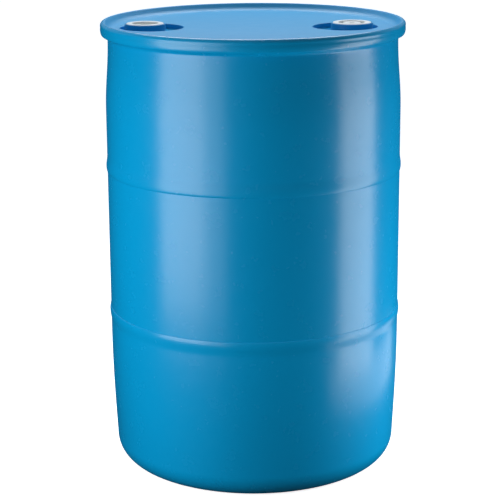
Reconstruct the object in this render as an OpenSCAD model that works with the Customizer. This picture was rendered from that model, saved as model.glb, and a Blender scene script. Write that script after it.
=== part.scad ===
// Closed-head plastic drum: a blow-moulded shell with a handling rim, two threaded
// inserts moulded into its head, and the screw plugs and gaskets that close them.
// The origin is the centre of the base on the floor, +Z is up, and the openings lie
// along X: the fine-threaded one at -X and the coarse-threaded one at +X.

/* [Drum] */
// Overall height, from the floor to the crest of the handling rim
drum_h = 889; // [760:1:1100]
// Diameter over the handling rim
rim_d = 594; // [480:1:720]
// Wall thickness of the side and the base
wall = 4; // [2:0.5:5]
// Wall thickness of the head
head_t = 5; // [3:0.5:7]

/* [Side] */
// How far the handling rim stands out past the side
rim_overhang = 7.5; // [4:0.5:14]
// How much smaller the radius is at the foot than at the middle
foot_taper = 7.5; // [0:0.5:16]
// Height over which the foot tapers
foot_taper_h = 230; // [120:5:260]
// Radius of the corner between the side and the base
foot_round = 50; // [25:1:60]
// Radial width of the ring that the drum stands on
stand_w = 14; // [8:1:30]
// How far the middle of the base is pushed up
base_rise = 10; // [4:1:20]

/* [Hoops] */
// How far a rolling hoop stands out from the side
hoop_proud = 2.2; // [1:0.1:6]
// Height of the crest of the lower hoop above the floor
lower_hoop_z = 313; // [290:1:340]
// Depth of the crest of the upper hoop below the rim's crest
upper_hoop_drop = 283; // [240:1:330]
// Height of a hoop's long flank, on its side away from the other hoop
hoop_long = 22; // [12:1:40]
// Height of a hoop's steep flank, on its side towards the other hoop
hoop_steep = 9; // [6:1:24]

/* [Handling rim] */
// Radius of the rim's outer top edge
rim_round = 7; // [4:0.5:9]
// Depth of the middle of the rim's outer face below its crest
rim_face_h = 15; // [14:0.5:17]
// Radius of the neck under the rim, measured in from the rim's outside
neck_in = 14; // [11:0.5:20]
// Depth of the neck below the rim's crest
neck_drop = 38; // [36:1:60]
// Height over which the neck swells out to the side
shoulder_h = 130; // [60:5:160]

/* [Head] */
// Depth of the flat head below the rim's crest
head_recess = 14; // [12:0.5:16]
// Radius of the corner between the head and the rim
head_round = 20; // [10:0.5:22]

/* [Openings] */
// Distance of the coarse-threaded opening's axis in from the rim's outside
coarse_in = 104; // [90:1:130]
// Distance of the fine-threaded opening's axis in from the rim's outside
fine_in = 87; // [84:1:130]
// Depth of the bosses' tops below the rim's crest
boss_drop = 6.5; // [4:0.5:9]
// Thickness of a boss's lip around the plug's head
boss_lip = 2.7; // [2:0.1:5]
// Depth of the floor of the well around a boss, below the rim's crest
well_drop = 24; // [18:0.5:28]
// Radial width of the well around a boss
well_w = 22; // [12:1:32]
// How far a well is set over from its opening, towards the middle of the head
well_shift = 13; // [3:0.5:16]
// Length of a threaded insert below the gasket's seat
insert_h = 23; // [20:0.5:36]
// Wall thickness of a threaded insert
insert_wall = 5; // [4:0.5:8]

/* [Threads] */
// Diameter over the coarse plug's thread, a 2 inch buttress of 5 turns to the inch
coarse_d = 61.8; // [50:0.1:76]
// Pitch of the coarse thread
coarse_pitch = 5.08; // [4:0.01:6.4]
// Depth of the coarse thread
coarse_depth = 1.7; // [1:0.1:2.2]
// Diameter over the fine plug's thread, a 2 inch pipe thread of 11.5 turns to the inch
fine_d = 59.4; // [50:0.1:72]
// Pitch of the fine thread
fine_pitch = 2.209; // [2:0.001:3.2]
// Depth of the fine thread
fine_depth = 1; // [0.7:0.1:1.2]
// Diameter over the small plug's thread, a 3/4 inch pipe thread of 14 turns to the inch
small_d = 26; // [20:0.1:28]
// Pitch of the small thread
small_pitch = 1.814; // [1.6:0.001:2.4]
// Depth of the small thread
small_depth = 0.8; // [0.6:0.05:0.9]
// Radial clearance between a male and a female thread
thread_gap = 0.4; // [0.3:0.05:0.6]

/* [Plugs] */
// How far a plug's head overhangs its thread
plug_flange = 6.6; // [5:0.1:10]
// Thickness of a large plug's head
plug_head_h = 5.3; // [4:0.1:8]
// How far a plug's head stands above the boss
plug_proud = 0.8; // [0:0.1:2]
// Clearance around a plug's head
plug_side_gap = 0.8; // [0.4:0.1:2]
// Length of a large plug's skirt below its head
plug_skirt = 17; // [15:0.5:24]
// Wall thickness of a plug's skirt and floor
plug_wall = 3; // [2:0.5:4.5]
// Thickness of a large gasket
gasket_t = 2.5; // [1.5:0.1:4]
// Length of the thread on a large plug
plug_thread_h = 11; // [9:0.5:13]
// Width of the ribs that a wrench drives
rib_w = 5; // [3:0.5:8]

/* [Small plug] */
// How far the small plug's head overhangs its thread
small_flange = 4.5; // [3:0.1:5.5]
// Thickness of the small plug's head
small_head_h = 4; // [3:0.1:6]
// Depth of the small plug's top below the coarse plug's top
small_sunk = 0.6; // [0.2:0.1:2]
// Length of the small plug's stem below its head
small_stem = 14; // [12:0.5:15]
// Length of the thread on the small plug
small_thread_h = 9; // [7:0.5:9.5]
// Thickness of the small gasket
small_gasket_t = 1.8; // [1:0.1:3]
// Width of the square socket in the small plug
socket_w = 10; // [8:0.5:12]
// Depth of the square socket
socket_h = 9; // [7:0.5:10]

/* [Hidden] */
$fn = 120;

rim_r = rim_d / 2;
side_r = rim_r - rim_overhang;
foot_r = side_r - foot_taper;
neck_r = rim_r - neck_in;
crest_r = rim_r - rim_round;
neck_z = drum_h - neck_drop;
head_z = drum_h - head_recess;
upper_hoop_z = drum_h - upper_hoop_drop;
// Radius of the crest's inner rounding, and the slope of the wall inside it from level
crest_in_round = 4;
rim_slope = 52;
// Roundings of the rim's outer face, of its lower edge, and of the cove under it
rim_face_round = 22;
rim_lip_round = 3.5;
rim_cove = 6;
// Radius at which the flat head meets the rim's fillet
inner_rounds = crest_in_round + head_round;
head_r = crest_r - inner_rounds * sin(rim_slope)
    - (head_recess - inner_rounds * (1 - cos(rim_slope))) / tan(rim_slope);
// Width of the ramp between the standing ring and the raised base
base_ramp_w = 18;
stand_r = foot_r - foot_round;
// Least gap between a gasket's bore and the plug that turns in it
turn_gap = 0.35;
// How deep a thread's ridge is sunk into the barrel that carries it
ridge_sink = 0.6;
// Height of the plain stretch between a plug's gasket and its first turn of thread
thread_start = 2.2;
// Height of the plain stretch between the small gasket and the small plug's thread
small_thread_start = 1.2;
boss_z = drum_h - boss_drop;
plug_top_z = boss_z + plug_proud;
plug_seat_z = plug_top_z - plug_head_h;
insert_top_z = plug_seat_z - gasket_t;
insert_z = insert_top_z - insert_h;
plug_z = plug_seat_z - plug_skirt;
small_top_z = plug_top_z - small_sunk;
small_seat_z = small_top_z - small_head_h;
small_boss_z = small_seat_z - small_gasket_t;
well_z = drum_h - well_drop;
coarse_x = rim_r - coarse_in;
fine_x = -(rim_r - fine_in);
// Locking rings on the outside of an insert
lock_w = 1.6;
lock_h = 3;

blue = [0.02, 0.45, 0.72];
white = [0.93, 0.95, 0.96];

// Points of an arc in the (radius, height) plane
function arc(cx, cz, r, a0, a1, n) =
    [for (i = [0:n]) let (a = a0 + (a1 - a0) * i / n) [cx + r * cos(a), cz + r * sin(a)]];
// Smooth step from 0 to 1
function ease(t) = (1 - cos(180 * max(0, min(1, t)))) / 2;
// Radius of the side at height z, without its hoops
function side_at(z) =
    z < foot_round + foot_taper_h
    ? foot_r + foot_taper * sin(90 * max(0, z - foot_round) / foot_taper_h)
    : neck_r + (side_r - neck_r) * ease((neck_z - z) / shoulder_h);
// A hoop's points by how far each is from the crest, on its long flank and on its steep one
long_flank = [for (i = [0:6]) [hoop_long * i / 6, hoop_proud * ease(1 - i / 6)]];
steep_flank = [for (a = [15:15:90]) [-hoop_steep * sin(a), hoop_proud * cos(a)]];
// Hoop with its crest at height c; its long flank is above the crest where up is 1, and
// below it where up is -1
function hoop_points(c, up, inset) =
    let (rising = up > 0 ? concat(reversed(steep_flank), long_flank) : concat(reversed(long_flank), steep_flank))
    [for (p = rising) let (z = c + up * p[0]) [side_at(z) + p[1] - inset, z]];
function reversed(list) = [for (i = [len(list) - 1:-1:0]) list[i]];
// The side from the foot's corner to the neck, moved in by inset
function side_points(inset) = concat(
    [for (z = [foot_round + 20:20:lower_hoop_z - hoop_long - 8]) [side_at(z) - inset, z]],
    hoop_points(lower_hoop_z, -1, inset),
    hoop_points(upper_hoop_z, 1, inset),
    [for (i = [0:13]) let (z = neck_z - shoulder_h * (1 - i / 14)) [side_at(z) - inset, z]]);

// Outline of the rim, from the neck up over the crest and down to the head. A shallow
// groove parts the rounded crest from the outer face.
function rim_points() = let (lip = rim_face_round - rim_lip_round) concat(
    [[neck_r, neck_z]],
    arc(neck_r + rim_cove, neck_z + 4, rim_cove, 180, 120, 6),
    arc(rim_r - rim_face_round + lip * cos(22), drum_h - rim_face_h - lip * sin(22), rim_lip_round, -60, -22, 4),
    arc(rim_r - rim_face_round, drum_h - rim_face_h, rim_face_round, -16, 8, 4),
    arc(rim_r - rim_round, drum_h - rim_round, rim_round, -16, 90, 10),
    arc(crest_r, drum_h - crest_in_round, crest_in_round, 90, 90 + rim_slope, 6),
    arc(head_r, head_z + head_round, head_round, rim_slope - 90, -90, 8));

// The shell without its openings
module shell_blank() {
    rotate_extrude()
        polygon(concat(
            [[0, base_rise], [stand_r - stand_w - base_ramp_w, base_rise], [stand_r - stand_w, 0]],
            arc(stand_r, foot_round, foot_round, -90, 0, 12),
            side_points(0),
            rim_points(),
            [[0, head_z]]));
}

module shell_hollow() {
    in_neck = neck_r - wall;
    in_round = 8;
    rotate_extrude()
        polygon(concat(
            [[0, base_rise + wall], [stand_r - stand_w - base_ramp_w, base_rise + wall],
             [stand_r - stand_w + wall / 2, wall]],
            arc(stand_r, foot_round, foot_round - wall, -90, 0, 12),
            side_points(wall),
            [[in_neck, neck_z]],
            arc(in_neck - in_round, head_z - head_t - in_round, in_round, 0, 90, 5),
            [[0, head_z - head_t]]));
}

// A male thread's barrel ends at barrel_r and its ridges reach crest_r; the female
// thread around it is one thread_gap larger all over
function barrel_r(d, depth) = d / 2 - depth;
function bore_r(d) = d / 2 + thread_gap;
function boss_r(d) = d / 2 + plug_flange + plug_side_gap + boss_lip;
function insert_r(d) = bore_r(d) + insert_wall;

// A boss of thread diameter d stands at x in a well, which is set over towards the
// middle of the head and has a pan of wall under it
function well_x(x) = x - sign(x) * well_shift;
function well_r(d) = boss_r(d) + well_w;
module well(x, d) {
    r = well_r(d);
    corner = 1.5;
    intersection() {
        translate([well_x(x), 0, 0]) rotate_extrude()
            polygon([[0, well_z], [r - corner, well_z], [r, well_z + corner], [r, drum_h], [0, drum_h]]);
        cylinder(r = head_r, h = drum_h + 1);
    }
}
module well_pan(x, d) {
    intersection() {
        translate([well_x(x), 0, well_z - head_t]) cylinder(r = well_r(d) + head_t, h = head_z - well_z + 1);
        cylinder(r = neck_r - wall / 2, h = drum_h);
    }
}

module boss(d) {
    bevel = 0.8;
    rotate_extrude()
        polygon([[0, insert_z], [boss_r(d), insert_z], [boss_r(d), boss_z - bevel],
                 [boss_r(d) - bevel, boss_z], [0, boss_z]]);
}
module boss_bore(d) {
    seat_r = d / 2 + plug_flange + plug_side_gap;
    translate([0, 0, insert_top_z]) cylinder(r = seat_r, h = drum_h - insert_top_z);
    insert_blank(d, 1);
}
// Outside of a threaded insert; past lengthens it so that it cuts a clean hole
module insert_blank(d, past) {
    r = insert_r(d);
    lock_z = insert_z + insert_h / 2;
    rotate_extrude()
        polygon([[0, insert_z - past], [r, insert_z - past], [r, lock_z - lock_h / 2],
                 [r + lock_w, lock_z - lock_h / 2], [r + lock_w, lock_z + lock_h / 2],
                 [r, lock_z + lock_h / 2], [r, insert_top_z], [0, insert_top_z]]);
}

// Helical ridge, widest at its root, that runs from z0 up for the given height.
// root_r and tip_r are the radii of its root and tip: the tip is outside the root on
// a male thread and inside it on a female one. The ridge sinks to nothing at its ends.
module ridge(root_r, tip_r, pitch, z0, height, root_w, tip_w, phase = 0, steps = 36) {
    male = tip_r > root_r;
    sink = male ? -ridge_sink : ridge_sink;
    turns = height / pitch;
    n = round(turns * steps);
    fade = steps / 6;
    low = root_r + sink / 2;
    stations = [for (i = [0:n])
        let (a = 360 * i / steps + phase,
             z = z0 + pitch * i / steps,
             f = ease(min(i, n - i) / fade),
             tip = low + (tip_r - low) * f,
             base = root_r + sink)
        [[base * cos(a), base * sin(a), z - root_w / 2],
         [tip * cos(a), tip * sin(a), z - tip_w / 2],
         [tip * cos(a), tip * sin(a), z + tip_w / 2],
         [base * cos(a), base * sin(a), z + root_w / 2]]];
    side_faces = [for (i = [0:n - 1], j = [0:3])
        let (a = 4 * i + j, b = 4 * i + (j + 1) % 4, c = a + 4, d = b + 4)
        each (male ? [[a, b, d], [a, d, c]] : [[a, d, b], [a, c, d]])];
    e = 4 * n;
    ends = male ? [[0, 2, 1], [0, 3, 2], [e, e + 1, e + 2], [e, e + 2, e + 3]]
                : [[0, 1, 2], [0, 2, 3], [e, e + 2, e + 1], [e, e + 3, e + 2]];
    polyhedron(points = [for (s = stations, p = s) p], faces = concat(side_faces, ends), convexity = 10);
}
// Share of a pitch taken by a ridge's root and by its tip
root_share = 0.4;
tip_share = 0.16;
module male_ridge(d, depth, pitch, z0, height, steps = 36) {
    ridge(d / 2 - depth, d / 2, pitch, z0, height, pitch * root_share, pitch * tip_share, 0, steps);
}
// The female ridge lies half a pitch from the male one that starts at male_z
module female_ridge(d, depth, pitch, male_z, z0, height, steps = 36) {
    phase = 360 * ((z0 - male_z) / pitch - 0.5);
    ridge(bore_r(d), d / 2 - depth + thread_gap, pitch, z0, height,
          pitch * root_share, pitch * tip_share, phase, steps);
}

module threaded_insert(d, depth, pitch) {
    lead = 1;
    difference() {
        insert_blank(d, 0);
        translate([0, 0, insert_z - 1]) cylinder(r = bore_r(d), h = insert_h + 2);
        translate([0, 0, insert_top_z - lead])
            cylinder(r1 = bore_r(d), r2 = bore_r(d) + lead + 0.1, h = lead + 0.1);
    }
    female_ridge(d, depth, pitch, male_z(pitch), insert_z + pitch, insert_h - 2 * pitch - lead);
}
// Height of the middle of a large plug's lowest ridge
function male_z(pitch) = plug_seat_z - gasket_t - thread_start - plug_thread_h;

module gasket(d, depth, seat_z, t, flange, trim) {
    translate([0, 0, seat_z - t]) difference() {
        cylinder(r = d / 2 + flange - trim, h = t);
        translate([0, 0, -1]) cylinder(r = barrel_r(d, depth) + turn_gap, h = t + 2);
    }
}

// Head and skirt of a large plug, open at the top
module plug_cup(d, depth) {
    head_r = d / 2 + plug_flange;
    out_r = barrel_r(d, depth);
    in_r = out_r - plug_wall;
    bevel = 0.9;
    rotate_extrude()
        polygon([[0, plug_z], [out_r - 1, plug_z], [out_r, plug_z + 1], [out_r, plug_seat_z],
                 [head_r, plug_seat_z], [head_r, plug_top_z - bevel], [head_r - bevel, plug_top_z],
                 [in_r + bevel, plug_top_z], [in_r, plug_top_z - bevel], [in_r, plug_z + plug_wall],
                 [0, plug_z + plug_wall]]);
}
// Four ribs between radii r0 and r1 that a wrench's lugs push on
module drive_ribs(r0, r1, top_z) {
    for (a = [45:90:315]) rotate([0, 0, a])
        translate([r0, -rib_w / 2, plug_z + plug_wall / 2])
            cube([r1 - r0, rib_w, top_z - plug_z - plug_wall / 2]);
}

module drum_body() {
    color(blue) difference() {
        union() {
            difference() {
                union() {
                    difference() {
                        shell_blank();
                        shell_hollow();
                    }
                    well_pan(coarse_x, coarse_d);
                    well_pan(fine_x, fine_d);
                }
                well(coarse_x, coarse_d);
                well(fine_x, fine_d);
            }
            translate([coarse_x, 0, 0]) boss(coarse_d);
            translate([fine_x, 0, 0]) boss(fine_d);
        }
        translate([coarse_x, 0, 0]) boss_bore(coarse_d);
        translate([fine_x, 0, 0]) boss_bore(fine_d);
    }
}

module coarse_thread_insert() {
    color(blue) translate([coarse_x, 0, 0]) threaded_insert(coarse_d, coarse_depth, coarse_pitch);
}
module fine_thread_insert() {
    color(blue) translate([fine_x, 0, 0]) threaded_insert(fine_d, fine_depth, fine_pitch);
}
module coarse_plug_gasket() {
    color("dimgray") translate([coarse_x, 0, 0])
        gasket(coarse_d, coarse_depth, plug_seat_z, gasket_t, plug_flange, 1);
}
module fine_plug_gasket() {
    color("dimgray") translate([fine_x, 0, 0])
        gasket(fine_d, fine_depth, plug_seat_z, gasket_t, plug_flange, 1);
}
module small_plug_gasket() {
    color("dimgray") translate([coarse_x, 0, 0])
        gasket(small_d, small_depth, small_seat_z, small_gasket_t, small_flange, 0.5);
}

module coarse_plug() {
    small_boss_r = small_d / 2 + small_flange;
    rib_below_boss = 0.6;
    color(white) translate([coarse_x, 0, 0]) {
        difference() {
            union() {
                plug_cup(coarse_d, coarse_depth);
                translate([0, 0, plug_z]) cylinder(r = small_boss_r, h = small_boss_z - plug_z);
                drive_ribs(small_boss_r - 1, barrel_r(coarse_d, coarse_depth) - plug_wall / 2,
                           small_boss_z - rib_below_boss);
            }
            translate([0, 0, plug_z - 1]) cylinder(r = bore_r(small_d), h = plug_skirt + plug_head_h + 2);
        }
        male_ridge(coarse_d, coarse_depth, coarse_pitch, male_z(coarse_pitch), plug_thread_h);
        female_ridge(small_d, small_depth, small_pitch, small_male_z(), plug_z + small_pitch,
                     small_boss_z - plug_z - 2 * small_pitch, 24);
    }
}
// Height of the middle of the small plug's lowest ridge
function small_male_z() = small_boss_z - small_thread_start - small_thread_h;

module small_plug() {
    r = small_d / 2 + small_flange;
    bevel = 0.7;
    stem_r = barrel_r(small_d, small_depth);
    color(white) translate([coarse_x, 0, 0]) {
        difference() {
            rotate_extrude()
                polygon([[0, small_seat_z - small_stem], [stem_r - 0.8, small_seat_z - small_stem],
                         [stem_r, small_seat_z - small_stem + 0.8], [stem_r, small_seat_z],
                         [r, small_seat_z], [r, small_top_z - bevel], [r - bevel, small_top_z],
                         [0, small_top_z]]);
            translate([-socket_w / 2, -socket_w / 2, small_top_z - socket_h])
                cube([socket_w, socket_w, socket_h + 1]);
        }
        male_ridge(small_d, small_depth, small_pitch, small_male_z(), small_thread_h, 24);
    }
}

module fine_plug() {
    rib_drop = 4;
    rib_l = 9;
    in_r = barrel_r(fine_d, fine_depth) - plug_wall;
    color(white) translate([fine_x, 0, 0]) {
        plug_cup(fine_d, fine_depth);
        drive_ribs(in_r - rib_l, in_r + plug_wall / 2, plug_top_z - rib_drop);
        male_ridge(fine_d, fine_depth, fine_pitch, male_z(fine_pitch), plug_thread_h);
    }
}

drum_body();
coarse_thread_insert();
fine_thread_insert();
coarse_plug_gasket();
coarse_plug();
small_plug_gasket();
small_plug();
fine_plug_gasket();
fine_plug();
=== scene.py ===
"""Closed-head plastic drum with its threaded inserts, gaskets and screw plugs.

Each operator models one piece, or a group of like pieces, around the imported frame.
Lengths are in metres, +Z is up and the drum's axis is X = Y = 0.
"""

import math

import bmesh
import bpy
from mathutils import Matrix, Vector


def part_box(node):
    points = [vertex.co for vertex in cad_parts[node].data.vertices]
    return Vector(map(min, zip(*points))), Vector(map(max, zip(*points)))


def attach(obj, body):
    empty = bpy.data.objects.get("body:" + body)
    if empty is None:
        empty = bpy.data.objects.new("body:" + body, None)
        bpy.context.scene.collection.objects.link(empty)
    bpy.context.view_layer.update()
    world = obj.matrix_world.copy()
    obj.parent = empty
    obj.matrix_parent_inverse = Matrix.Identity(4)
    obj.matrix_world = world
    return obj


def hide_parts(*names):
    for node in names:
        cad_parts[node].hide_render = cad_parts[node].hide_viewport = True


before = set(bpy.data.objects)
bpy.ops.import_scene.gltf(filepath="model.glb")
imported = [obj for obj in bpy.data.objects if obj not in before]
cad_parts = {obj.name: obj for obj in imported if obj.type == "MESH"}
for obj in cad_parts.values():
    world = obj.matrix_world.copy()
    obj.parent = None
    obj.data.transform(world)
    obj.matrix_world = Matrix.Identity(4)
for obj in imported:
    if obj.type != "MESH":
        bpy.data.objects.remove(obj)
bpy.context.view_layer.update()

bl_info = {
    "name": "Plastic drum",
    "version": (1, 0, 0),
    "blender": (4, 5, 0),
    "location": "3D View > Sidebar > Drum",
    "description": "Models a closed-head plastic drum with its screw plugs",
    "category": "Add Mesh",
}

MM = 0.001
SHELL_LOW, SHELL_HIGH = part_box("drum_body")
COARSE_LOW, COARSE_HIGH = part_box("coarse_plug")
FINE_LOW, FINE_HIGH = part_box("fine_plug")
SMALL_LOW, SMALL_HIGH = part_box("small_plug")

SHELL_STEPS = 256
ROUND_STEPS = 128
THREAD_STEPS = 64
FLOOR_W = 60.0
SENSOR_W = 36.0  # millimetres, which the lens property's text names too
FLAT = 0.4 * MM  # strip beside a rounded edge that keeps the shading of the flat face flat
WELD = 0.002 * MM
PAST = 1 * MM  # how far a cutter runs past the face that it cuts
SUNK = 0.6 * MM  # how far the foot of a thread is sunk into its barrel
FINE_EDGE, SOFT_EDGE, ROUND_EDGE = 0.3 * MM, 0.6 * MM, 1.2 * MM
CORE_R = 8 * MM  # radius of the flat disc that closes a plug's end
INNER_ROUND = 1.5 * MM  # rounding of a plug's inner corners
SOFT_SHARE = 0.3  # rounding of a gasket's edges as a share of its thickness
SMOOTH_ANGLE = math.radians(30)
CORNER_STEPS = 6


def length(name, description, default):
    return bpy.props.FloatProperty(
        name=name, description=description, default=default, unit="LENGTH", subtype="DISTANCE", precision=4
    )


def angle(name, description, default):
    return bpy.props.FloatProperty(
        name=name, description=description, default=math.radians(default), unit="ROTATION", subtype="ANGLE"
    )


def colour(name, description, default):
    return bpy.props.FloatVectorProperty(
        name=name, description=description, default=default, size=3, min=0.0, max=1.0, subtype="COLOR"
    )


def brightness(name, description, default):
    return bpy.props.FloatProperty(name=name, description=description, default=default, min=0.0)


# Sizes and colours that a user would change


class DrumShellSizes(bpy.types.PropertyGroup):
    height: length("Height", "Height of the rim's crest above the floor", SHELL_HIGH[2])
    rim_d: length("Rim diameter", "Diameter over the handling rim", SHELL_HIGH[0] - SHELL_LOW[0])
    wall: length("Wall", "Wall thickness of the side and the base", 4 * MM)
    head_t: length("Head thickness", "Wall thickness of the head", 5 * MM)
    rim_overhang: length("Rim overhang", "How far the rim stands out past the side", 7.5 * MM)
    foot_taper: length("Foot taper", "How much smaller the radius is at the foot", 7.5 * MM)
    foot_taper_h: length("Foot taper height", "Height over which the foot tapers", 230 * MM)
    foot_round: length("Foot corner", "Radius of the corner between side and base", 50 * MM)
    stand_w: length("Standing ring", "Width of the ring that the drum stands on", 14 * MM)
    base_rise: length("Base rise", "How far the middle of the base is pushed up", 10 * MM)
    base_ramp_w: length("Base ramp", "Width of the ramp up to the middle of the base", 18 * MM)
    hoop_proud: length("Hoop height", "How far a rolling hoop stands out", 2.2 * MM)
    lower_hoop_z: length("Lower hoop", "Height of the lower hoop's crest", 313 * MM)
    upper_hoop_drop: length("Upper hoop drop", "Depth of the upper hoop's crest below the rim", 283 * MM)
    hoop_long: length("Long flank", "Height of a hoop's flank on its side away from the other hoop", 22 * MM)
    hoop_steep: length("Steep flank", "Height of a hoop's flank on its side towards the other hoop", 9 * MM)
    rim_round: length("Rim corner", "Radius of the rim's outer top edge", 7 * MM)
    rim_in_round: length("Rim inner corner", "Radius of the rim's inner top edge", 4 * MM)
    rim_face_h: length("Rim face", "Depth of the middle of the rim's outer face below its crest", 15 * MM)
    rim_face_round: length("Rim face curve", "Radius to which the rim's outer face is curved", 22 * MM)
    rim_lip_round: length("Rim lower edge", "Radius of the lower edge of the rim's face", 3.5 * MM)
    rim_cove: length("Rim cove", "Radius of the cove between the rim and the neck", 6 * MM)
    neck_in: length("Neck inset", "How far the neck is in from the rim's outside", 14 * MM)
    neck_drop: length("Neck drop", "Depth of the neck below the rim's crest", 38 * MM)
    shoulder_h: length("Shoulder height", "Height over which the neck swells to the side", 130 * MM)
    head_recess: length("Head recess", "Depth of the head below the rim's crest", 14 * MM)
    head_round: length("Head corner", "Radius of the corner between head and rim", 20 * MM)
    rim_slope: angle("Rim slope", "Slope of the wall inside the rim, from level", 52)
    seam_w: length("Parting line width", "Width of the mould's parting line", 1.2 * MM)
    seam_h: length("Parting line height", "Height of the mould's parting line", 0.25 * MM)
    pinch_l: length("Pinch-off length", "Length of the pinched seam under the base", 180 * MM)
    pinch_w: length("Pinch-off width", "Width of the pinched seam", 3 * MM)
    pinch_h: length("Pinch-off height", "Height of the pinched seam", 1.5 * MM)


class DrumOpeningSizes(bpy.types.PropertyGroup):
    boss_drop: length("Boss drop", "Depth of the bosses' tops below the rim's crest", 6.5 * MM)
    boss_lip: length("Boss lip", "Thickness of a boss's lip around the plug", 2.7 * MM)
    well_drop: length("Well drop", "Depth of a well's floor below the rim's crest", 24 * MM)
    well_w: length("Well width", "Radial width of the well around a boss", 22 * MM)
    well_shift: length("Well shift", "How far a well is set over towards the middle", 13 * MM)
    well_round: length("Well edge", "Rounding of a well's upper edge and of its floor's edge", 2 * MM)
    insert_h: length("Insert length", "Length of a threaded insert", 23 * MM)
    insert_wall: length("Insert wall", "Wall thickness of a threaded insert", 5 * MM)
    lock_w: length("Lock ring width", "How far an insert's locking ring stands out", 1.6 * MM)
    lock_h: length("Lock ring height", "Height of an insert's locking ring", 3 * MM)
    thread_gap: length("Thread gap", "Radial clearance between male and female threads", 0.4 * MM)


class DrumPlugSizes(bpy.types.PropertyGroup):
    coarse_depth: length("Coarse depth", "Depth of the coarse thread", 1.7 * MM)
    coarse_pitch: length("Coarse pitch", "Pitch of the coarse thread", 5.08 * MM)
    fine_depth: length("Fine depth", "Depth of the fine thread", 1.0 * MM)
    fine_pitch: length("Fine pitch", "Pitch of the fine thread", 2.209 * MM)
    small_depth: length("Small depth", "Depth of the small plug's thread", 0.8 * MM)
    small_pitch: length("Small pitch", "Pitch of the small plug's thread", 1.814 * MM)
    flange: length("Flange", "How far a large plug's head overhangs its thread", 6.6 * MM)
    head_h: length("Head height", "Thickness of a large plug's head", 5.3 * MM)
    side_gap: length("Side gap", "Clearance around a large plug's head", 0.8 * MM)
    wall: length("Plug wall", "Wall thickness of a plug's skirt and floor", 3 * MM)
    gasket_t: length("Gasket", "Thickness of a large gasket", 2.5 * MM)
    gasket_trim: length("Gasket trim", "How far a large gasket stays inside the plug's head", 1 * MM)
    turn_gap: length("Turning gap", "Gap between a gasket and the plug that turns in it", 0.35 * MM)
    thread_start: length("Thread start", "Plain stretch between a large gasket and the thread", 2.2 * MM)
    thread_h: length("Thread length", "Length of the thread on a large plug", 11 * MM)
    rib_w: length("Rib width", "Width of the ribs that a wrench drives", 5 * MM)
    coarse_rib_drop: length("Coarse rib drop", "Depth of the coarse ribs below the inner boss", 0.6 * MM)
    fine_rib_drop: length("Fine rib drop", "Depth of the fine plug's ribs below its top", 4 * MM)
    fine_rib_l: length("Fine rib length", "Length of the fine plug's ribs", 9 * MM)
    small_flange: length("Small flange", "How far the small plug's head overhangs its thread", 4.5 * MM)
    small_head_h: length("Small head", "Thickness of the small plug's head", 4 * MM)
    small_thread_start: length("Small start", "Plain stretch between the small gasket and thread", 1.2 * MM)
    small_thread_h: length("Small thread", "Length of the thread on the small plug", 9 * MM)
    small_gasket_t: length("Small gasket", "Thickness of the small gasket", 1.8 * MM)
    small_gasket_trim: length("Small gasket trim", "How far the small gasket stays inside the head", 0.5 * MM)
    socket_w: length("Socket width", "Width of the square socket", 10 * MM)
    socket_h: length("Socket depth", "Depth of the square socket", 9 * MM)


class DrumColours(bpy.types.PropertyGroup):
    shell: colour("Shell", "Colour of the blue polyethylene", (0.0, 0.345, 0.7))
    plug: colour("Plugs", "Colour of the white plugs", (0.93, 0.95, 0.95))
    rubber: colour("Gaskets", "Colour of the gaskets' rubber", (0.014, 0.014, 0.015))
    floor: colour("Floor", "Colour of the studio floor", (0.93, 0.93, 0.93))


class DrumStage(bpy.types.PropertyGroup):
    camera_away: length("Camera distance", "Distance of the camera from the drum's axis", 3.32)
    camera_h: length("Camera height", "Height of the camera above the floor", 1.293)
    pitch: angle("Pitch", "How far the camera looks down", 14.645)
    yaw: angle("Yaw", "How far the camera turns to the left", 0.1411)
    roll: angle("Roll", "How far the camera leans to the right", 0.35)
    lens: bpy.props.FloatProperty(
        name="Lens", description="Focal length on a 36 mm sensor, in millimetres", default=122.62, min=10.0
    )
    left_light: brightness("Left light", "Power of the left softbox, in watts a square metre", 14.0)
    right_light: brightness("Right light", "Power of the right softbox, in watts a square metre", 13.0)
    back_light: brightness("Back light", "Power of the back softbox, in watts a square metre", 15.5)
    back_tint: colour("Backdrop colour", "Colour of the wall behind the drum", (0.5, 0.72, 1.0))
    top_sky: brightness("Overhead", "Brightness of the ceiling", 0.12)
    back_sky: brightness("Backdrop", "Brightness of the wall behind the drum", 0.5)
    front_sky: brightness("Room", "Brightness of the room behind the camera", 0.06)
    below_sky: brightness("Below", "Brightness of the surroundings below eye level", 0.02)
    floor_glow: brightness("Floor glow", "Light given off by the floor, which keeps it white", 0.85)


PROPERTY_GROUPS = {
    "drum_shell": DrumShellSizes,
    "drum_openings": DrumOpeningSizes,
    "drum_plugs": DrumPlugSizes,
    "drum_colours": DrumColours,
    "drum_stage": DrumStage,
}


# Levels and radii that follow from the sizes


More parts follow.
